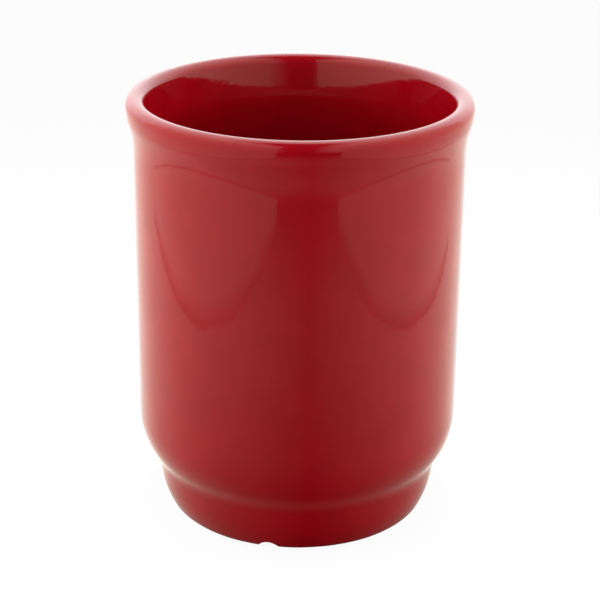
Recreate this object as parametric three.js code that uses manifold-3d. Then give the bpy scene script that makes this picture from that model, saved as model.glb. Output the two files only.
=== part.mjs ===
// A stackable mug without a handle: a thick ceramic body with a stepped foot and a turned-out lip,
// glazed inside and out. The ring that it stands on is bare, and drain notches cross that ring.
import * as THREE from 'three';
import { mergeVertices } from 'three/addons/utils/BufferGeometryUtils.js';
import Module from 'manifold-3d';

// Driving dimensions, in millimetres and degrees. All but the glaze's own are taken over the glaze.
const HEIGHT = 100;
const BODY_DIAMETER = 75.8; // straight side, where the lip leaves it
const BODY_TAPER = 0.25; // lean of the straight side, which narrows towards the foot
const WALL = 4.6; // the same from the foot to the lip; the rim is fully rounded

const LIP_DEPTH = 9.2; // from the top of the rim down to the corner where the lip leaves the side
const LIP_REACH = 1.57; // how far the rim stands out past the side
const LIP_LEAN = 17;
const LIP_HOLLOW_ROUND = 24; // where the side turns out into the lip
const LIP_CROWN_ROUND = 10.5; // where the lip turns upright again, below the rim
const MOUTH_LEAN = 11; // of the inside, which turns out all the way to the rim
const MOUTH_ROUND = 19;

const STACK_CLEARANCE = 1.75; // from the top of the foot to the mouth of a like mug below it in a stack
const FOOT_HEIGHT = 12.45; // up to the crease under the shoulder
const FOOT_LEAN = 8.9;
const BELLY_HEIGHT = 4.75; // where the side of the foot turns in towards the ring
const BELLY_ROUND = 20;
const TUCK_LEAN = 25.7; // of the side below the belly
const FOOT_ROUND = 2.6;
const CREASE_ROUND = 8.6;
const SHOULDER_RISE = 5.9; // from the crease up to the corner where the shoulder meets the side
const SHOULDER_ROUND = 17.2;

const RING_WIDTH = 6; // the foot ring, from its inner to its outer lower corner
const RING_LEAN = 20; // lean of the ring's inner face
const RING_ROUND = 0.9;
const RECESS_DEPTH = 2.5; // under the base, inside the ring
const RECESS_ROUND = 1.5;
const FLOOR = 4.6;
const FLOOR_ROUND = 6;

const NOTCH_COUNT = 3;
const NOTCH_WIDTH = 5;
const NOTCH_DEPTH = 1.9;
const NOTCH_OVERRUN = 2; // how far a notch's cutter runs past both faces of the ring

const GLAZE = 0.4;
const GLAZE_BOND = 0.03; // clearance between the glaze and the clay
const GLAZE_LINE = 0.6; // the glaze stops at this height, above the bare ring

// Fineness of the curves
const TURN_STEPS = 40; // round the axis
const ARC_STEP = 22.5; // the most that one step of a profile's arc may turn
const ARC_STEPS_LEAST = 2;
const NOTCH_STEPS = 24;

const { degToRad } = THREE.MathUtils;
const slant = (degrees) => Math.tan(degToRad(degrees));

// A profile is a list of corners in radius and height, each to be rounded by an arc. It runs from the
// axis under the base, up the outside, over the rim and down to the floor, with the clay on its left.
const corner = (radius, height, round = 0) => ({ at: new THREE.Vector2(radius, height), round });

const heading = (from, to) => to.at.clone().sub(from.at).normalize();
const leftOf = (direction) => new THREE.Vector2(-direction.y, direction.x);

// The angle by which a profile turns at a corner, positive to the left.
function turnAt(before, here, after) {
  const entry = heading(before, here);
  const exit = heading(here, after);
  return Math.atan2(entry.cross(exit), entry.dot(exit));
}

// The point at a given height on the line through two points.
const atHeight = (a, b, height) => a.clone().lerp(b, (height - a.y) / (b.y - a.y));

// The profile that runs inside another at a steady depth. Its arcs keep their centres.
function inset(corners, depth) {
  return corners.map((here, i) => {
    const before = corners[i - 1];
    const after = corners[i + 1];
    const side = leftOf(before ? heading(before, here) : heading(here, after));
    if (!before || !after) return { at: here.at.clone().addScaledVector(side, depth), round: here.round };
    const turn = turnAt(before, here, after);
    const along = heading(before, here);
    const at = here.at.clone().addScaledVector(side, depth);
    at.addScaledVector(along, -depth * Math.tan(turn / 2));
    return { at, round: Math.max(0, here.round - Math.sign(turn) * depth) };
  });
}

// The points of a profile, with every corner rounded. Where a leg is too short for the arcs at its two
// ends, both are made smaller in proportion.
function drawProfile(corners) {
  const inner = (i) => i > 0 && i < corners.length - 1;
  const turns = corners.map((here, i) => (inner(i) ? turnAt(corners[i - 1], here, corners[i + 1]) : 0));
  const wanted = corners.map((here, i) => here.round * Math.tan(Math.abs(turns[i]) / 2));
  const share = (i) => corners[i].at.distanceTo(corners[i + 1].at) / (wanted[i] + wanted[i + 1]);
  return corners.flatMap((here, i) => {
    const reach = inner(i) ? wanted[i] * Math.min(1, share(i - 1), share(i)) : 0;
    if (!reach) return [here.at];
    const along = heading(corners[i - 1], here);
    const start = here.at.clone().addScaledVector(along, -reach);
    const centre = start.clone().addScaledVector(leftOf(along), reach / Math.tan(turns[i] / 2));
    const steps = Math.max(ARC_STEPS_LEAST, Math.ceil(Math.abs(turns[i]) / degToRad(ARC_STEP)));
    return Array.from({ length: steps + 1 }, (_, k) =>
      start.clone().rotateAround(centre, (turns[i] * k) / steps));
  });
}

// Solids
const wasm = await Module();
wasm.setup();

function solidOf(geometry) {
  geometry.deleteAttribute('normal');
  geometry.deleteAttribute('uv');
  const merged = mergeVertices(geometry);
  const index = merged.index.array;
  const triVerts = [];
  for (let i = 0; i < index.length; i += 3) {
    const [a, b, c] = index.slice(i, i + 3);
    // Triangles that shrink to a line on the axis are left out.
    if (a !== b && b !== c && c !== a) triVerts.push(a, b, c);
  }
  return new wasm.Manifold(new wasm.Mesh({
    numProp: 3,
    vertProperties: merged.attributes.position.array,
    triVerts: new Uint32Array(triVerts),
  }));
}

// A solid turned about the Z axis from the points of a profile.
function turned(points) {
  const geometry = new THREE.LatheGeometry(points, TURN_STEPS);
  return solidOf(geometry.rotateX(Math.PI / 2));
}

function meshOf(name, solid, material) {
  const { vertProperties, triVerts } = solid.getMesh();
  const geometry = new THREE.BufferGeometry();
  geometry.setAttribute('position', new THREE.BufferAttribute(vertProperties, 3));
  geometry.setIndex(new THREE.BufferAttribute(triVerts, 1));
  geometry.computeVertexNormals();
  const mesh = new THREE.Mesh(geometry, material);
  mesh.name = name;
  return mesh;
}

// The surface of the glaze, as corners
const bodyRadius = BODY_DIAMETER / 2;
const rimRadius = bodyRadius + LIP_REACH;
const rimRound = WALL / 2;
const mouthRadius = rimRadius - rimRound - rimRound * slant((90 - MOUTH_LEAN) / 2);
const lipHeight = HEIGHT - LIP_DEPTH;
const crownHeight = lipHeight + LIP_REACH / slant(LIP_LEAN);
const shoulderHeight = FOOT_HEIGHT + SHOULDER_RISE;
const shoulderRadius = bodyRadius - (lipHeight - shoulderHeight) * slant(BODY_TAPER);
const creaseRadius = mouthRadius - STACK_CLEARANCE;
const bellyRadius = creaseRadius - (FOOT_HEIGHT - BELLY_HEIGHT) * slant(FOOT_LEAN);
const footRadius = bellyRadius - BELLY_HEIGHT * slant(TUCK_LEAN);
const ringRadius = footRadius - RING_WIDTH;
const recessRadius = ringRadius - RECESS_DEPTH * slant(RING_LEAN);
const floorHeight = RECESS_DEPTH + FLOOR;

const base = [
  corner(0, RECESS_DEPTH),
  corner(recessRadius, RECESS_DEPTH, RECESS_ROUND),
  corner(ringRadius, 0, RING_ROUND),
];
const side = [
  corner(footRadius, 0, FOOT_ROUND),
  corner(bellyRadius, BELLY_HEIGHT, BELLY_ROUND),
  corner(creaseRadius, FOOT_HEIGHT, CREASE_ROUND),
  corner(shoulderRadius, shoulderHeight, SHOULDER_ROUND),
  corner(bodyRadius, lipHeight, LIP_HOLLOW_ROUND),
  corner(rimRadius, crownHeight, LIP_CROWN_ROUND),
  corner(rimRadius, HEIGHT, rimRound),
];
// The inside follows the outside at the thickness of the wall, from the floor up to its own lip.
const [, innerBelly, innerCrease, innerShoulder, innerLip] = inset(side, WALL);
const mouthHeight = HEIGHT - (mouthRadius - innerLip.at.x) / slant(MOUTH_LEAN);
const inside = [
  { at: atHeight(innerBelly.at, innerCrease.at, floorHeight), round: FLOOR_ROUND },
  innerCrease,
  innerShoulder,
  { at: atHeight(innerShoulder.at, innerLip.at, mouthHeight), round: MOUTH_ROUND },
  corner(mouthRadius, HEIGHT, rimRound),
];
const surface = [...base, ...side, ...inside.reverse(), corner(0, floorHeight)];

// The clay lies under the glaze, but for its ring, which reaches down to the standing plane.
const clay = inset(surface, GLAZE + GLAZE_BOND);
const [, clayRecess, clayRing, clayFoot, clayBelly] = clay;
clayRing.at.copy(atHeight(clayRecess.at, clayRing.at, 0));
clayFoot.at.copy(atHeight(clayFoot.at, clayBelly.at, 0));

// The glaze lies between its surface and the clay, on both sides of the bare ring.
const glazeTop = drawProfile(surface);
const glazeUnderside = drawProfile(inset(clay, -GLAZE_BOND));
const isBare = (point) => point.y < GLAZE_LINE;

function insideRing(points) {
  const bare = points.findIndex(isBare);
  return [...points.slice(0, bare), atHeight(points[bare - 1], points[bare], GLAZE_LINE)];
}

function outsideRing(points) {
  const bare = points.findLastIndex(isBare);
  return [atHeight(points[bare], points[bare + 1], GLAZE_LINE), ...points.slice(bare + 1)];
}

const coatProfile = [...outsideRing(glazeUnderside).reverse(), ...outsideRing(glazeTop)];
const baseProfile = [...insideRing(glazeTop), ...insideRing(glazeUnderside).reverse()];

// Drain notches, half-round grooves that cross the ring, the first one at the front
const notchRadius = (NOTCH_WIDTH ** 2 / 4 + NOTCH_DEPTH ** 2) / (2 * NOTCH_DEPTH);
const notchStart = recessRadius - NOTCH_OVERRUN;
const notchLength = creaseRadius + NOTCH_OVERRUN - notchStart;

function notched(solid) {
  let cut = solid;
  for (let i = 0; i < NOTCH_COUNT; i += 1) {
    const groove = new THREE.CylinderGeometry(notchRadius, notchRadius, notchLength, NOTCH_STEPS);
    groove.translate(0, -(notchStart + notchLength / 2), NOTCH_DEPTH - notchRadius);
    groove.rotateZ((2 * Math.PI * i) / NOTCH_COUNT);
    cut = cut.subtract(solidOf(groove));
  }
  return cut;
}

const glazeMaterial = new THREE.MeshStandardMaterial({ color: '#8a0c14', roughness: 0.12, metalness: 0 });
const clayMaterial = new THREE.MeshStandardMaterial({ color: '#e4dccf', roughness: 0.75, metalness: 0 });

const mug = new THREE.Group();
mug.name = 'stackable_mug';
mug.add(
  meshOf('ceramic_body', notched(turned(drawProfile(clay))), clayMaterial),
  meshOf('glaze_coat', notched(turned(coatProfile)), glazeMaterial),
  meshOf('base_glaze', notched(turned(baseProfile)), glazeMaterial),
);

export default mug;
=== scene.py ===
# A stackable mug in glossy red glaze over a fired clay body, in a plain white studio.
import math
from collections import namedtuple

import bpy
from mathutils import Matrix, Vector


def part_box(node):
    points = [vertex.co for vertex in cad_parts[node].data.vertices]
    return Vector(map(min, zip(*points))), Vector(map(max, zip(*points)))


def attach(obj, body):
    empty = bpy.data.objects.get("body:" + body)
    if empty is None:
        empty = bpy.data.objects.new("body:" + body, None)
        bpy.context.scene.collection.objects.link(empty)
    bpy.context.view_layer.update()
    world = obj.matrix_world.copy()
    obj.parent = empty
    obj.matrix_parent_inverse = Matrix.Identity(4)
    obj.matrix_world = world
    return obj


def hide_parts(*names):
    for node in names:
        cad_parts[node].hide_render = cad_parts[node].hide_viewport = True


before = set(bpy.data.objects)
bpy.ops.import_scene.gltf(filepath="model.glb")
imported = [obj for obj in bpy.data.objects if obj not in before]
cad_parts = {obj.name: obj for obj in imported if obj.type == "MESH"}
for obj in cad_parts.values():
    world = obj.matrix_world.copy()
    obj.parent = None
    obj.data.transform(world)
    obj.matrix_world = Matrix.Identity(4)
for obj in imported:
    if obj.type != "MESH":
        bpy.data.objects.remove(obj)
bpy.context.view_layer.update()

# Lengths in metres, leans in degrees. The overall sizes come from the frame, the others repeat the CAD
# model's.
MM = 0.001
_, coat_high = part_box("glaze_coat")
HEIGHT = coat_high.z
RIM_RADIUS = coat_high.x
WALL = 4.6 * MM
LIP_DEPTH = 9.2 * MM
LIP_REACH = 1.57 * MM
LIP_LEAN = 17
LIP_HOLLOW_ROUND = 24 * MM
LIP_CROWN_ROUND = 10.5 * MM
MOUTH_LEAN = 11
MOUTH_ROUND = 19 * MM
BODY_TAPER = 0.25
SHOULDER_RISE = 5.9 * MM
SHOULDER_ROUND = 17.2 * MM
STACK_CLEARANCE = 1.75 * MM
FOOT_HEIGHT = 12.45 * MM
FOOT_LEAN = 8.9
BELLY_HEIGHT = 4.75 * MM
BELLY_ROUND = 20 * MM
TUCK_LEAN = 25.7
FOOT_ROUND = 2.6 * MM
CREASE_ROUND = 8.6 * MM
RING_WIDTH = 6 * MM
RING_LEAN = 20
RING_ROUND = 0.9 * MM
RECESS_DEPTH = 2.5 * MM
RECESS_ROUND = 1.5 * MM
FLOOR = 4.6 * MM
FLOOR_ROUND = 6 * MM
NOTCH_COUNT = 3
NOTCH_WIDTH = 5 * MM
NOTCH_DEPTH = 1.9 * MM
GLAZE = 0.4 * MM
GLAZE_BOND = 0.03 * MM
GLAZE_LINE = 0.6 * MM  # the glaze stops at about this height, above the bare ring

# Small edge detail that the CAD model leaves out
NOTCH_EDGE = 0.5 * MM  # softness of the notches' edges
GLAZE_LINE_WAVER = 0.12 * MM
GLAZE_LINE_WAVES = ((5, 0.5, 0.7), (11, 0.3, 2.1), (23, 0.2, 0.0))  # count round the mug, share, start
BEAD_DROP = GLAZE / 3  # how far the glaze's edge hangs down in a bead
# Above these heights the glaze no longer follows its wavering edge.
COAT_SETTLED = 5 * MM
BASE_SETTLED = RECESS_DEPTH - 0.1 * MM

# Fineness of the meshes
ARC_STEP = math.radians(4)
LEG_STEP = 2.5 * MM
EDGE_STEPS = 14  # rows of the glaze between its edge and where it has settled
TURN_STEP = math.radians(2)
NOTCH_STEP = math.radians(0.6)
NOTCH_ZONE = math.radians(9)  # half of the angle that is finely stepped at each notch
LEAST_REACH = 0.001 * MM  # stands in for the reach of the arcs on a leg that has none

# The photograph's camera
VIEW_AZIMUTH = math.radians(12)  # the first notch is seen this far to the left of the middle
VIEW_DISTANCE = 394.1 * MM  # from the mug's axis, along the floor
VIEW_HEIGHT = 206.7 * MM
VIEW_PITCH = math.radians(21.69)
VIEW_ROLL = math.radians(0.577)
VIEW_SENSOR = 36  # in millimetres, as the lens is
VIEW_LENS = 108
VIEW_SHIFT = 0.0031

# Patterns of noise: size of the features, levels of detail, and strength of each finer level
Pattern = namedtuple("Pattern", "size detail roughness", defaults=(0.5,))
NOISE_LOW = 0.3  # noise is stretched from this range to the full one
NOISE_HIGH = 0.7

# Glaze. All colours are linear.
GLAZE_DEEP = (0.25, 0.0008, 0.0045, 1)
GLAZE_BRIGHT = (0.28, 0.0012, 0.0055, 1)
GLAZE_MOTTLE = Pattern(9 * MM, 4)
# Painted highlight: a paler, whiter band of the glaze's colour at the crease, standing in for the gloss
# there.
GLAZE_PAINTED_HIGHLIGHT = (0.31, 0.014, 0.015, 1)  # the paler band at the crease
PAINTED_HIGHLIGHT_HEIGHT = FOOT_HEIGHT + 1.2 * MM
PAINTED_HIGHLIGHT_REACH = 2.6 * MM
PAINTED_HIGHLIGHT_SHARE = 0.9
GLAZE_THIN = (0.32, 0.004, 0.008, 1)  # on the rim
THIN_REACH = 1.0 * MM
THIN_SHARE = 0.35
GLAZE_IOR = 1.5
GLAZE_ROUGH = 0.05
GLAZE_ROUGH_SPREAD = 0.01
GLAZE_GLOSS = Pattern(3 * MM, 5, 0.6)
GLAZE_WAVE = Pattern(14 * MM, 1)
WAVE_DEPTH = 0.1 * MM
GLAZE_PEEL = Pattern(1.6 * MM, 2)
PEEL_DEPTH = 0.012 * MM

# Bare clay
CLAY_PALE = (0.74, 0.69, 0.6, 1)
CLAY_WARM = (0.62, 0.54, 0.44, 1)
CLAY_PATCHES = Pattern(4 * MM, 5, 0.65)
CLAY_PALE_ROUGH = 0.7
CLAY_WARM_ROUGH = 0.9
CLAY_SPECK = (0.2, 0.15, 0.11, 1)
CLAY_SPECKS = Pattern(0.5 * MM, 1)
SPECK_START = 0.68  # the level of the noise at which a speck starts, and where it is full
SPECK_FULL = 0.72
SPECK_SHARE = 0.7
CLAY_SCUFF = (0.3, 0.29, 0.28, 1)
CLAY_SCUFFS = Pattern(2.2 * MM, 6, 0.75)
SCUFF_START = 0.58
SCUFF_FULL = 0.72
SCUFF_SHARE = 0.6
CLAY_GRAIN = Pattern(0.35 * MM, 4, 0.6)
GRAIN_DEPTH = 0.05 * MM

# Floor
FLOOR_COLOUR = (0.85, 0.85, 0.85, 1)
FLOOR_GRAIN = (0.82, 0.82, 0.82, 1)
FLOOR_FIBRES = Pattern(1.5 * MM, 3)
FLOOR_DIM = (0.5, 0.5, 0.5, 1)  # what it gives back to the mug on the dim side
FLOOR_LIFT = 0.93  # share of plain white in the floor that the camera sees
FLOOR_REACH = 3
FLOOR_DROP = 0.05 * MM  # keeps the floor clear of the flat of the ring

# Light of the studio, where a level of 1 is white. The levels after the first show in the gloss alone.
WHITE = (1, 1, 1, 1)
AMBIENT = 0.62  # falls on the mug from all round
STUDIO_WARM = (1, 0.97, 0.83, 1)  # the tint of the boards and the floor
STUDIO_COOL = (0.78, 0.87, 0.83, 1)  # the tint of the floor behind the mug
DIM_TURN = math.radians(7)  # the dim side lies this far to the right of the camera
FRONT_LEVEL = 0.19  # on the dim side
BACK_LEVEL = 1.9  # opposite it
# The sky grows brighter up to a height, given as the upward share of a direction.
SKY_HIGH = 0.4
SKY_GAIN = 1.65
# From above the mug round to the camera, the sky has a dark gap. It is given by the shares of a direction:
# it starts between the first two towards the camera, and ends between the next two sideways.
GAP_BACK = -0.4
GAP_FRONT = -0.15
GAP_MIDDLE = 0.15
GAP_SIDE = 0.35
GAP_LEVEL = 0.04
# The floor darkens towards the camera.
SHADE_START = 190 * MM
SHADE_END = 310 * MM
SHADE_LEVEL = 0.15
# It is also dark close to the mug, most on the dim side and up to an angle from it.
NEAR_START = 34 * MM
NEAR_END = 150 * MM
NEAR_ANGLE = math.radians(115)
NEAR_LEVEL = 0.05
# Straight behind the mug the floor is cool and dim. Angles are taken outwards from lines that spread
# from the low to the high distance beside the axis, over the reach behind it.
COOL_FULL = math.radians(19)
COOL_NONE = math.radians(42)
BEHIND_FULL = math.radians(3)
BEHIND_NONE = math.radians(14)
BEHIND_LEVEL = 0.25
OUTLINE_REACH = 45 * MM
OUTLINE_LOW = 26 * MM
OUTLINE_HIGH = 38 * MM
# The side boards follow the studio's fall-off, grow brighter upwards, and have a dim seam at the floor.
PANEL_HEIGHT = 520  # in millimetres, as their corners on the floor are
PANEL_LEVEL = 0.22
PANEL_GAIN = 0.87
PANEL_RISE_START = 130 * MM
PANEL_RISE_END = 400 * MM
PANEL_RISE = 1.7
SEAM_HEIGHT = 9 * MM
SEAM_LEVEL = 0.5

Corner = namedtuple("Corner", "at round")


def slant(degrees):
    return math.tan(math.radians(degrees))


# A profile is a list of corners in radius and height, each to be rounded by an arc. It runs from the
# axis under the base, up the outside, over the rim and down to the floor, with the clay on its left.
def corner(radius, height, rounding=0.0):
    return Corner(Vector((radius, height)), rounding)


def heading(start, end):
    return (end.at - start.at).normalized()


def left_of(direction):
    return Vector((-direction.y, direction.x))


def turn_at(before, here, after):
    """The angle by which a profile turns at a corner, positive to the left."""
    entry = heading(before, here)
    leave = heading(here, after)
    return math.atan2(entry.x * leave.y - entry.y * leave.x, entry.dot(leave))


def at_height(a, b, height):
    """The point at a given height on the line through two points."""
    return a.lerp(b, (height - a.y) / (b.y - a.y))


def inset(corners, depth):
    """The profile that runs inside another at a steady depth. Its arcs keep their centres."""
    moved = []
    for i, here in enumerate(corners):
        if i in (0, len(corners) - 1):
            along = heading(*corners[:2]) if i == 0 else heading(*corners[-2:])
            moved.append(Corner(here.at + left_of(along) * depth, here.round))
            continue
        along = heading(corners[i - 1], here)
        turn = turn_at(corners[i - 1], here, corners[i + 1])
        at = here.at + left_of(along) * depth - along * depth * math.tan(turn / 2)
        moved.append(Corner(at, max(0.0, here.round - math.copysign(depth, turn))))
    return moved


def draw_profile(corners):
    """The points of a profile with every corner rounded and every leg divided."""
    last = len(corners) - 1
    turns = [turn_at(*corners[i - 1:i + 2]) if 0 < i < last else 0.0 for i in range(last + 1)]
    wanted = [here.round * math.tan(abs(turn) / 2) for here, turn in zip(corners, turns)]

    def share(i):
        """How much of the arcs at its two ends a leg has room for."""
        return (corners[i + 1].at - corners[i].at).length / max(wanted[i] + wanted[i + 1], LEAST_REACH)

    points = []
    for i, here in enumerate(corners):
        reach = wanted[i] * min(1.0, share(i - 1), share(i)) if 0 < i < last else 0.0
        start = here.at - heading(corners[i - 1], here) * reach if i else here.at
        if points:
            leg_steps = math.ceil((start - points[-1]).length / LEG_STEP)
            points += [points[-1].lerp(start, (k + 1) / leg_steps) for k in range(leg_steps)]
        else:
            points.append(start)
        if reach:
            centre = start + left_of(heading(corners[i - 1], here)) * reach / math.tan(turns[i] / 2)
            arc_steps = math.ceil(abs(turns[i]) / ARC_STEP)
            for k in range(1, arc_steps + 1):
                points.append(centre + Matrix.Rotation(turns[i] * k / arc_steps, 2) @ (start - centre))
    return points


# The surface of the glaze, as corners
body_radius = RIM_RADIUS - LIP_REACH
rim_round = WALL / 2
mouth_radius = RIM_RADIUS - rim_round - rim_round * slant((90 - MOUTH_LEAN) / 2)
lip_height = HEIGHT - LIP_DEPTH
crown_height = lip_height + LIP_REACH / slant(LIP_LEAN)
shoulder_height = FOOT_HEIGHT + SHOULDER_RISE
shoulder_radius = body_radius - (lip_height - shoulder_height) * slant(BODY_TAPER)
crease_radius = mouth_radius - STACK_CLEARANCE
belly_radius = crease_radius - (FOOT_HEIGHT - BELLY_HEIGHT) * slant(FOOT_LEAN)
foot_radius = belly_radius - BELLY_HEIGHT * slant(TUCK_LEAN)
ring_radius = foot_radius - RING_WIDTH
recess_radius = ring_radius - RECESS_DEPTH * slant(RING_LEAN)
floor_height = RECESS_DEPTH + FLOOR

base = [
    corner(0, RECESS_DEPTH),
    corner(recess_radius, RECESS_DEPTH, RECESS_ROUND),
    corner(ring_radius, 0, RING_ROUND),
]
side = [
    corner(foot_radius, 0, FOOT_ROUND),
    corner(belly_radius, BELLY_HEIGHT, BELLY_ROUND),
    corner(crease_radius, FOOT_HEIGHT, CREASE_ROUND),
    corner(shoulder_radius, shoulder_height, SHOULDER_ROUND),
    corner(body_radius, lip_height, LIP_HOLLOW_ROUND),
    corner(RIM_RADIUS, crown_height, LIP_CROWN_ROUND),
    corner(RIM_RADIUS, HEIGHT, rim_round),
]
# The inside follows the outside at the thickness of the wall, from the floor up to its own lip.
_, belly_inside, crease_inside, shoulder_inside, lip_inside, *_ = inset(side, WALL)
mouth_height = HEIGHT - (mouth_radius - lip_inside.at.x) / slant(MOUTH_LEAN)
inside = [
    Corner(at_height(belly_inside.at, crease_inside.at, floor_height), FLOOR_ROUND),
    crease_inside,
    shoulder_inside,
    Corner(at_height(shoulder_inside.at, lip_inside.at, mouth_height), MOUTH_ROUND),
    corner(mouth_radius, HEIGHT, rim_round),
]
surface = base + side + inside[::-1] + [corner(0, floor_height)]

# The clay lies under the glaze, but for its ring, which reaches down to the standing plane.
clay = inset(surface, GLAZE + GLAZE_BOND)
centre_under, clay_recess, clay_ring, clay_foot, *clay_rest = clay
standing_ring = Corner(at_height(clay_recess.at, clay_ring.at, 0), clay_ring.round)
standing_foot = Corner(at_height(clay_foot.at, clay_rest[0].at, 0), clay_foot.round)
clay = [centre_under, clay_recess, standing_ring, standing_foot, *clay_rest]

# Drain notches, half-round grooves that cross the ring, the first one at the front
notch_spacing = 2 * math.pi / NOTCH_COUNT
notch_radius = (NOTCH_WIDTH ** 2 / 4 + NOTCH_DEPTH ** 2) / (2 * NOTCH_DEPTH)


def groove_height(radius, angle):
    """Height of the notches' roof, or a height below the ring where there is no notch."""
    off = (angle + notch_spacing / 2) % notch_spacing - notch_spacing / 2
    across = min(abs(radius * math.sin(off)), notch_radius)
    return NOTCH_DEPTH - notch_radius + math.sqrt(notch_radius ** 2 - across ** 2)


def soft_max(a, b, softness):
    """The larger of two values, eased over where they are nearly the same."""
    near = max(softness - abs(a - b), 0) / softness
    return max(a, b) + near * near * softness / 4


def glaze_edge(radius, angle):
    """Height of the glaze's edge: a line that wavers a little and rises over the notches."""
    waver = sum(share * math.sin(count * angle + start) for count, share, start in GLAZE_LINE_WAVES)
    line = GLAZE_LINE + GLAZE_LINE_WAVER * waver
    return soft_max(line, groove_height(radius, angle) + GLAZE_LINE_WAVER, NOTCH_EDGE)


def from_edge(points, edge, settled):
    """An outline that runs up from the ring, cut off at the glaze's edge."""
    def radius_at(height):
        for a, b in zip(points, points[1:]):
            if a.y <= height < b.y:
                return at_height(a, b, height).x
        raise ValueError("the outline doesn't reach that height")

    heights = [edge + (settled - edge) * k / EDGE_STEPS for k in range(EDGE_STEPS)]
    return [Vector((radius_at(z), z)) for z in heights] + [p for p in points if p.y >= settled]


def split_at_ring(points):
    """The outlines on the two sides of the ring, each running up from it."""
    lowest = min(range(len(points)), key=lambda i: points[i].y)
    return points[lowest::-1], points[lowest:]


# Outlines of the pieces at one angle of the turn, each from the axis back to the axis
clay_points = draw_profile(clay)
base_top, coat_top = split_at_ring(draw_profile(surface))
base_under, coat_under = split_at_ring(draw_profile(inset(clay, -GLAZE_BOND)))


def clay_outline(angle):
    return [Vector((p.x, soft_max(p.y, groove_height(p.x, angle), NOTCH_EDGE))) for p in clay_points]


def glaze_outline(top, under, radius, settled, angle):
    edge = glaze_edge(radius, angle)
    lower = from_edge(under, edge, settled)
    upper = from_edge(top, edge, settled)
    bead = (lower[0] + upper[0]) / 2 - Vector((0, BEAD_DROP))
    return lower[::-1] + [bead] + upper


def coat_outline(angle):
    return glaze_outline(coat_top, coat_under, foot_radius, COAT_SETTLED, angle)


def base_outline(angle):
    return glaze_outline(base_top, base_under, ring_radius, BASE_SETTLED, angle)


# Meshes
def turn_angles():
    """Angles from the first notch round, in finer steps near each notch."""
    fine_steps = round(2 * NOTCH_ZONE / NOTCH_STEP)
    plain_steps = round((notch_spacing - 2 * NOTCH_ZONE) / TURN_STEP)
    fine = [-NOTCH_ZONE + 2 * NOTCH_ZONE * k / fine_steps for k in range(fine_steps)]
    plain = [NOTCH_ZONE + (notch_spacing - 2 * NOTCH_ZONE) * k / plain_steps for k in range(plain_steps)]
    return [notch * notch_spacing + angle for notch in range(NOTCH_COUNT) for angle in fine + plain]


def turned(name, outline_at, node, material):
    """A closed mesh turned about the Z axis, which stands for a CAD node."""
    angles = turn_angles()
    outlines = [outline_at(angle) for angle in angles]
    rows = len(outlines[0]) - 2
    vertices = [(0, 0, outlines[0][0].y), (0, 0, outlines[0][-1].y)]
    first_row = len(vertices)
    for angle, outline in zip(angles, outlines):
        for point in outline[1:-1]:
            vertices.append((point.x * math.sin(angle), -point.x * math.cos(angle), point.y))
    faces = []
    for i in range(len(angles)):
        here = first_row + i * rows
        after = first_row + (i + 1) % len(angles) * rows
        faces.append((0, after, here))
        faces.append((1, here + rows - 1, after + rows - 1))
        faces += [(here + k, after + k, after + k + 1, here + k + 1) for k in range(rows - 1)]
    mesh = bpy.data.meshes.new(name)
    mesh.from_pydata(vertices, [], faces)
    mesh.shade_smooth()
    mesh.materials.append(material)
    piece = bpy.data.objects.new(name, mesh)
    bpy.context.scene.collection.objects.link(piece)
    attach(piece, "root")
    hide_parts(node)


# Shader nodes. A value or colour handed to them is a plain one or another node's output.
MIX_SHARE, MIX_FIRST, MIX_SECOND = 0, 6, 7  # inputs of a mix node that mixes colours
MIX_RESULT = 2  # its output


def new_material(name):
    material = bpy.data.materials.new(name)
    material.use_nodes = True
    tree = material.node_tree
    tree.nodes.clear()
    output = tree.nodes.new("ShaderNodeOutputMaterial")
    return material, tree, output


def feed(tree, socket, value):
    if isinstance(value, bpy.types.NodeSocket):
        tree.links.new(value, socket)
    else:
        socket.default_value = value


def math_node(tree, operation, *values):
    node = tree.nodes.new("ShaderNodeMath")
    node.operation = operation
    for socket, value in zip(node.inputs, values):
        feed(tree, socket, value)
    return node.outputs[0]


def product(tree, first, second):
    return math_node(tree, "MULTIPLY", first, second)


def rest_of(tree, share):
    """What a share leaves of the whole."""
    return math_node(tree, "SUBTRACT", 1.0, share)


def vector_math(tree, operation, vector, other=None):
    node = tree.nodes.new("ShaderNodeVectorMath")
    node.operation = operation
    tree.links.new(vector, node.inputs[0])
    if other is not None:
        node.inputs[1].default_value = other
    return node.outputs["Value"] if operation in ("DOT_PRODUCT", "LENGTH") else node.outputs["Vector"]


def object_place(tree):
    return tree.nodes.new("ShaderNodeTexCoord").outputs["Object"]


def height_of(tree, place):
    parts = tree.nodes.new("ShaderNodeSeparateXYZ")
    tree.links.new(place, parts.inputs[0])
    return parts.outputs["Z"]


def noise(tree, pattern):
    """A pattern of noise in the object's own space."""
    node = tree.nodes.new("ShaderNodeTexNoise")
    node.inputs["Scale"].default_value = 1 / pattern.size
    node.inputs["Detail"].default_value = pattern.detail
    node.inputs["Roughness"].default_value = pattern.roughness
    tree.links.new(object_place(tree), node.inputs["Vector"])
    return node.outputs["Fac"]


def mapped(tree, value, low, high, to_low, to_high):
    """A value moved from one range to another, and held within it."""
    node = tree.nodes.new("ShaderNodeMapRange")
    tree.links.new(value, node.inputs["Value"])
    for name, number in (("From Min", low), ("From Max", high), ("To Min", to_low), ("To Max", to_high)):
        node.inputs[name].default_value = number
    return node.outputs["Result"]


def stretched_noise(tree, pattern, to_low=0, to_high=1):
    return mapped(tree, noise(tree, pattern), NOISE_LOW, NOISE_HIGH, to_low, to_high)


def mixed(tree, share, first, second):
    """A mix of two colours, by the share of the second."""
    node = tree.nodes.new("ShaderNodeMix")
    node.data_type = "RGBA"
    feed(tree, node.inputs[MIX_SHARE], share)
    feed(tree, node.inputs[MIX_FIRST], first)
    feed(tree, node.inputs[MIX_SECOND], second)
    return node.outputs[MIX_RESULT]


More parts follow.
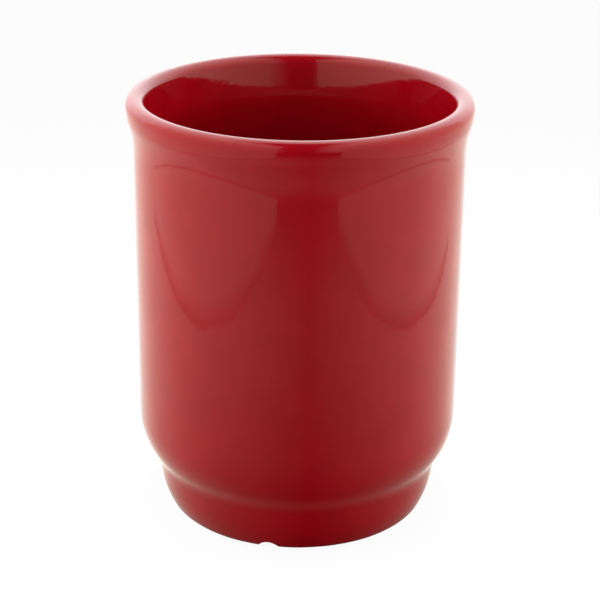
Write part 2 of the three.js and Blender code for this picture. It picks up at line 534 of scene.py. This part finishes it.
def bumped(tree, height, depth, below=None):
    """Normals of a relief of the given depth, on top of another relief's."""
    node = tree.nodes.new("ShaderNodeBump")
    node.inputs["Strength"].default_value = 1
    node.inputs["Distance"].default_value = depth
    tree.links.new(height, node.inputs["Height"])
    if below:
        tree.links.new(below, node.inputs["Normal"])
    return node.outputs["Normal"]


def principled(tree, output):
    shader = tree.nodes.new("ShaderNodeBsdfPrincipled")
    tree.links.new(shader.outputs["BSDF"], output.inputs["Surface"])
    return shader


def height_band(tree, middle, reach, share):
    """A share at one height of the mug, falling to 0 at the given distance above and below it."""
    off = math_node(tree, "SUBTRACT", height_of(tree, object_place(tree)), middle)
    return mapped(tree, math_node(tree, "ABSOLUTE", off), 0, reach, share, 0)


# Materials of the mug
def red_glaze():
    material, tree, output = new_material("red_glaze")
    shader = principled(tree, output)
    shader.inputs["IOR"].default_value = GLAZE_IOR
    colour = mixed(tree, stretched_noise(tree, GLAZE_MOTTLE), GLAZE_DEEP, GLAZE_BRIGHT)
    # A painted highlight: a paler band at the crease.
    painted_highlight = height_band(tree, PAINTED_HIGHLIGHT_HEIGHT, PAINTED_HIGHLIGHT_REACH, PAINTED_HIGHLIGHT_SHARE)
    colour = mixed(tree, painted_highlight, colour, GLAZE_PAINTED_HIGHLIGHT)
    thin = height_band(tree, HEIGHT, THIN_REACH, THIN_SHARE)
    colour = mixed(tree, thin, colour, GLAZE_THIN)
    tree.links.new(colour, shader.inputs["Base Color"])
    smoothest = GLAZE_ROUGH - GLAZE_ROUGH_SPREAD
    roughest = GLAZE_ROUGH + GLAZE_ROUGH_SPREAD
    rough = stretched_noise(tree, GLAZE_GLOSS, smoothest, roughest)
    tree.links.new(rough, shader.inputs["Roughness"])
    wave = bumped(tree, noise(tree, GLAZE_WAVE), WAVE_DEPTH)
    peel = bumped(tree, noise(tree, GLAZE_PEEL), PEEL_DEPTH, wave)
    tree.links.new(peel, shader.inputs["Normal"])
    return material


def bare_clay():
    material, tree, output = new_material("bare_clay")
    shader = principled(tree, output)
    patches = stretched_noise(tree, CLAY_PATCHES)
    colour = mixed(tree, patches, CLAY_PALE, CLAY_WARM)
    specks = mapped(tree, noise(tree, CLAY_SPECKS), SPECK_START, SPECK_FULL, 0, SPECK_SHARE)
    colour = mixed(tree, specks, colour, CLAY_SPECK)
    scuffs = mapped(tree, noise(tree, CLAY_SCUFFS), SCUFF_START, SCUFF_FULL, 0, SCUFF_SHARE)
    colour = mixed(tree, scuffs, colour, CLAY_SCUFF)
    tree.links.new(colour, shader.inputs["Base Color"])
    rough = mapped(tree, patches, 0, 1, CLAY_PALE_ROUGH, CLAY_WARM_ROUGH)
    tree.links.new(rough, shader.inputs["Roughness"])
    grain = bumped(tree, noise(tree, CLAY_GRAIN), GRAIN_DEPTH)
    tree.links.new(grain, shader.inputs["Normal"])
    return material


# Pieces
glaze_material = red_glaze()
turned("fired_clay_body", clay_outline, "ceramic_body", bare_clay())
turned("red_glaze_coat", coat_outline, "glaze_coat", glaze_material)
turned("red_glaze_base", base_outline, "base_glaze", glaze_material)


# Studio. Its places are given as seen by the camera: X to the right, -Y towards the camera, Z up.
facing_camera = Matrix.Rotation(VIEW_AZIMUTH, 4, "Z")
TO_CAMERA = facing_camera @ Vector((0, -1, 0))
TO_RIGHT = facing_camera @ Vector((1, 0, 0))
UP = Vector((0, 0, 1))
DIM_SIDE = facing_camera @ Matrix.Rotation(DIM_TURN, 4, "Z") @ Vector((0, -1, 0))


def distance_aside(tree, vector):
    """How far a place or direction lies to the left or right of the camera's line to the mug."""
    return math_node(tree, "ABSOLUTE", vector_math(tree, "DOT_PRODUCT", vector, TO_RIGHT))


def angle_from_front(tree, vector):
    """The angle between a place or direction and the dim side, 0 on that side and half a turn opposite."""
    unit = vector_math(tree, "NORMALIZE", vector)
    return math_node(tree, "ARCCOSINE", vector_math(tree, "DOT_PRODUCT", unit, DIM_SIDE))


def fall_off(tree, angle):
    """The studio's brightness round the mug: dim on the camera's side and bright behind."""
    return mapped(tree, angle, 0, math.pi, FRONT_LEVEL, BACK_LEVEL)


def kinds_of_ray(tree):
    """Whether a ray comes from the camera, and whether it comes off a gloss."""
    path = tree.nodes.new("ShaderNodeLightPath").outputs
    mirrored = math_node(tree, "MAXIMUM", path["Is Glossy Ray"], path["Is Transmission Ray"])
    return path["Is Camera Ray"], mirrored


def sky_level(tree, direction):
    """The part of the sky's brightness that comes from its height and from its dark gap."""
    towards = vector_math(tree, "DOT_PRODUCT", direction, TO_CAMERA)
    ahead = mapped(tree, towards, GAP_BACK, GAP_FRONT, 0, 1)
    between = mapped(tree, distance_aside(tree, direction), GAP_MIDDLE, GAP_SIDE, 1, 0)
    gap = product(tree, ahead, between)
    height = vector_math(tree, "DOT_PRODUCT", direction, UP)
    brighter = mapped(tree, height, 0, SKY_HIGH, 1, SKY_GAIN)
    return product(tree, brighter, mapped(tree, gap, 0, 1, 1, GAP_LEVEL))


def build_world():
    """White for the camera, the studio's fall-off in the gloss, and a steady level for other light."""
    world = bpy.data.worlds.new("studio")
    bpy.context.scene.world = world
    world.use_nodes = True
    tree = world.node_tree
    background = tree.nodes["Background"]
    direction = tree.nodes.new("ShaderNodeTexCoord").outputs["Generated"]
    studio = product(tree, fall_off(tree, angle_from_front(tree, direction)), sky_level(tree, direction))
    in_view, mirrored = kinds_of_ray(tree)
    other = rest_of(tree, math_node(tree, "MAXIMUM", in_view, mirrored))
    level = math_node(tree, "MULTIPLY_ADD", mirrored, studio, in_view)
    level = math_node(tree, "MULTIPLY_ADD", other, AMBIENT, level)
    tree.links.new(level, background.inputs["Strength"])
    background.inputs["Color"].default_value = WHITE


def rectangle(name, corners, material):
    mesh = bpy.data.meshes.new(name)
    mesh.from_pydata([facing_camera @ Vector(c) for c in corners], [], [(0, 1, 2, 3)])
    mesh.materials.append(material)
    card = bpy.data.objects.new(name, mesh)
    bpy.context.scene.collection.objects.link(card)
    return card


def slope_behind(tree, place, towards):
    """The angle at which a place behind the mug lies outwards from the lines that spread behind it."""
    behind = product(tree, towards, -1.0)
    outline = mapped(tree, behind, 0, OUTLINE_REACH, OUTLINE_LOW, OUTLINE_HIGH)
    past_outline = math_node(tree, "SUBTRACT", distance_aside(tree, place), outline)
    beside = math_node(tree, "MAXIMUM", past_outline, 0.0)
    return math_node(tree, "ARCTAN2", beside, behind)


def floor_level(tree, place, angle, towards, slope):
    """The floor's brightness in the gloss: dimmed towards the camera, close to the mug and behind it."""
    dimmed = mapped(tree, towards, SHADE_START, SHADE_END, 1, SHADE_LEVEL)
    at_mug = mapped(tree, angle, 0, NEAR_ANGLE, NEAR_LEVEL, 1)
    farness = mapped(tree, vector_math(tree, "LENGTH", place), NEAR_START, NEAR_END, 0, 1)
    near = math_node(tree, "MULTIPLY_ADD", rest_of(tree, at_mug), farness, at_mug)
    studio = product(tree, fall_off(tree, angle), product(tree, dimmed, near))
    return product(tree, studio, mapped(tree, slope, BEHIND_FULL, BEHIND_NONE, BEHIND_LEVEL, 1))


def build_floor():
    """White paper for the camera, which glows in the gloss as the studio's floor does."""
    material, tree, output = new_material("studio_floor")
    place = object_place(tree)
    angle = angle_from_front(tree, place)
    towards = vector_math(tree, "DOT_PRODUCT", place, TO_CAMERA)
    slope = slope_behind(tree, place, towards)
    in_view, mirrored = kinds_of_ray(tree)

    glow = tree.nodes.new("ShaderNodeEmission")
    level = floor_level(tree, place, angle, towards, slope)
    tree.links.new(math_node(tree, "MULTIPLY_ADD", mirrored, level, in_view), glow.inputs["Strength"])
    tint = mixed(tree, mapped(tree, slope, COOL_FULL, COOL_NONE, 1, 0), STUDIO_WARM, STUDIO_COOL)
    tree.links.new(mixed(tree, mirrored, WHITE, tint), glow.inputs["Color"])

    paper = tree.nodes.new("ShaderNodeBsdfDiffuse")
    colour = mixed(tree, stretched_noise(tree, FLOOR_FIBRES), FLOOR_COLOUR, FLOOR_GRAIN)
    dim = product(tree, mapped(tree, angle, 0, NEAR_ANGLE, 1, 0), rest_of(tree, in_view))
    tree.links.new(mixed(tree, dim, colour, FLOOR_DIM), paper.inputs["Color"])

    mix = tree.nodes.new("ShaderNodeMixShader")
    tree.links.new(math_node(tree, "MULTIPLY_ADD", in_view, FLOOR_LIFT, mirrored), mix.inputs["Fac"])
    tree.links.new(paper.outputs[0], mix.inputs[1])
    tree.links.new(glow.outputs[0], mix.inputs[2])
    tree.links.new(mix.outputs[0], output.inputs["Surface"])
    reach = FLOOR_REACH
    low = -FLOOR_DROP
    corners = [(-reach, -reach, low), (reach, -reach, low), (reach, reach, low), (-reach, reach, low)]
    rectangle("floor", corners, material)


def side_panel(name, start, end):
    """An upright board over a line on the floor, which shows in the gloss alone."""
    material, tree, output = new_material(name)
    glow = tree.nodes.new("ShaderNodeEmission")
    glow.inputs["Color"].default_value = STUDIO_WARM
    place = object_place(tree)
    height = height_of(tree, place)
    on_floor = vector_math(tree, "MULTIPLY", place, (1, 1, 0))
    studio = fall_off(tree, angle_from_front(tree, on_floor))
    level = math_node(tree, "MULTIPLY_ADD", studio, PANEL_GAIN, PANEL_LEVEL)
    rise = mapped(tree, height, PANEL_RISE_START, PANEL_RISE_END, 1, PANEL_RISE)
    seam = mapped(tree, height, 0, SEAM_HEIGHT, SEAM_LEVEL, 1)
    tree.links.new(product(tree, level, product(tree, rise, seam)), glow.inputs["Strength"])
    tree.links.new(glow.outputs[0], output.inputs["Surface"])
    corners = [(*start, 0), (*end, 0), (*end, PANEL_HEIGHT), (*start, PANEL_HEIGHT)]
    card = rectangle(name, [Vector(c) * MM for c in corners], material)
    card.visible_camera = False
    card.visible_diffuse = False
    card.visible_shadow = False
    card.visible_transmission = False
    card.visible_volume_scatter = False


def set_up(lamp, place):
    """Puts a lamp in the studio, where it gives light but is neither seen nor mirrored."""
    stand = bpy.data.objects.new(lamp.name, lamp)
    bpy.context.scene.collection.objects.link(stand)
    stand.matrix_world = facing_camera @ place
    stand.visible_camera = False
    stand.visible_glossy = False


def soft_lamp(name, azimuth, distance, height, width, tall, level):
    """An upright area lamp that faces the mug's axis. Its level is the brightness of its face."""
    lamp = bpy.data.lights.new(name, "AREA")
    lamp.shape = "RECTANGLE"
    lamp.size = width
    lamp.size_y = tall
    lamp.energy = level * math.pi * width * tall
    upright = Matrix.Translation((0, -distance, height)) @ Matrix.Rotation(math.radians(90), 4, "X")
    set_up(lamp, Matrix.Rotation(math.radians(azimuth), 4, "Z") @ upright)


def top_lamp(name, behind, height, width, energy, spread):
    """A lamp high up and a little behind, whose narrow beam falls on the rim and into the bowl."""
    lamp = bpy.data.lights.new(name, "AREA")
    lamp.shape = "DISK"
    lamp.size = width
    lamp.energy = energy
    lamp.spread = math.radians(spread)
    lean = Matrix.Rotation(-math.atan2(behind, height), 4, "X")
    set_up(lamp, Matrix.Translation((0, behind, height)) @ lean)


def build_camera():
    data = bpy.data.cameras.new("camera")
    data.sensor_width = VIEW_SENSOR
    data.lens = VIEW_LENS
    data.shift_x = VIEW_SHIFT
    camera = bpy.data.objects.new("camera", data)
    bpy.context.scene.collection.objects.link(camera)
    place = Matrix.Translation((0, -VIEW_DISTANCE, VIEW_HEIGHT))
    tilt = Matrix.Rotation(math.radians(90) - VIEW_PITCH, 4, "X")
    roll = Matrix.Rotation(VIEW_ROLL, 4, "Z")
    camera.matrix_world = facing_camera @ place @ tilt @ roll
    bpy.context.scene.camera = camera


build_world()
build_floor()
side_panel("left_panel", start=(-64, -250), end=(-222, 85))
side_panel("right_panel", start=(108, -235), end=(185, 100))
soft_lamp("left_lamp", azimuth=-95, distance=0.25, height=0.13, width=0.3, tall=0.2, level=5.2)
soft_lamp("right_lamp", azimuth=100, distance=0.25, height=0.13, width=0.3, tall=0.2, level=4.7)
soft_lamp("front_lamp", azimuth=0, distance=0.16, height=0.15, width=0.3, tall=0.06, level=2.05)
top_lamp("top_lamp", behind=0.05, height=0.7, width=0.16, energy=0.026, spread=12)
build_camera()
bpy.context.scene.view_settings.view_transform = "Standard"
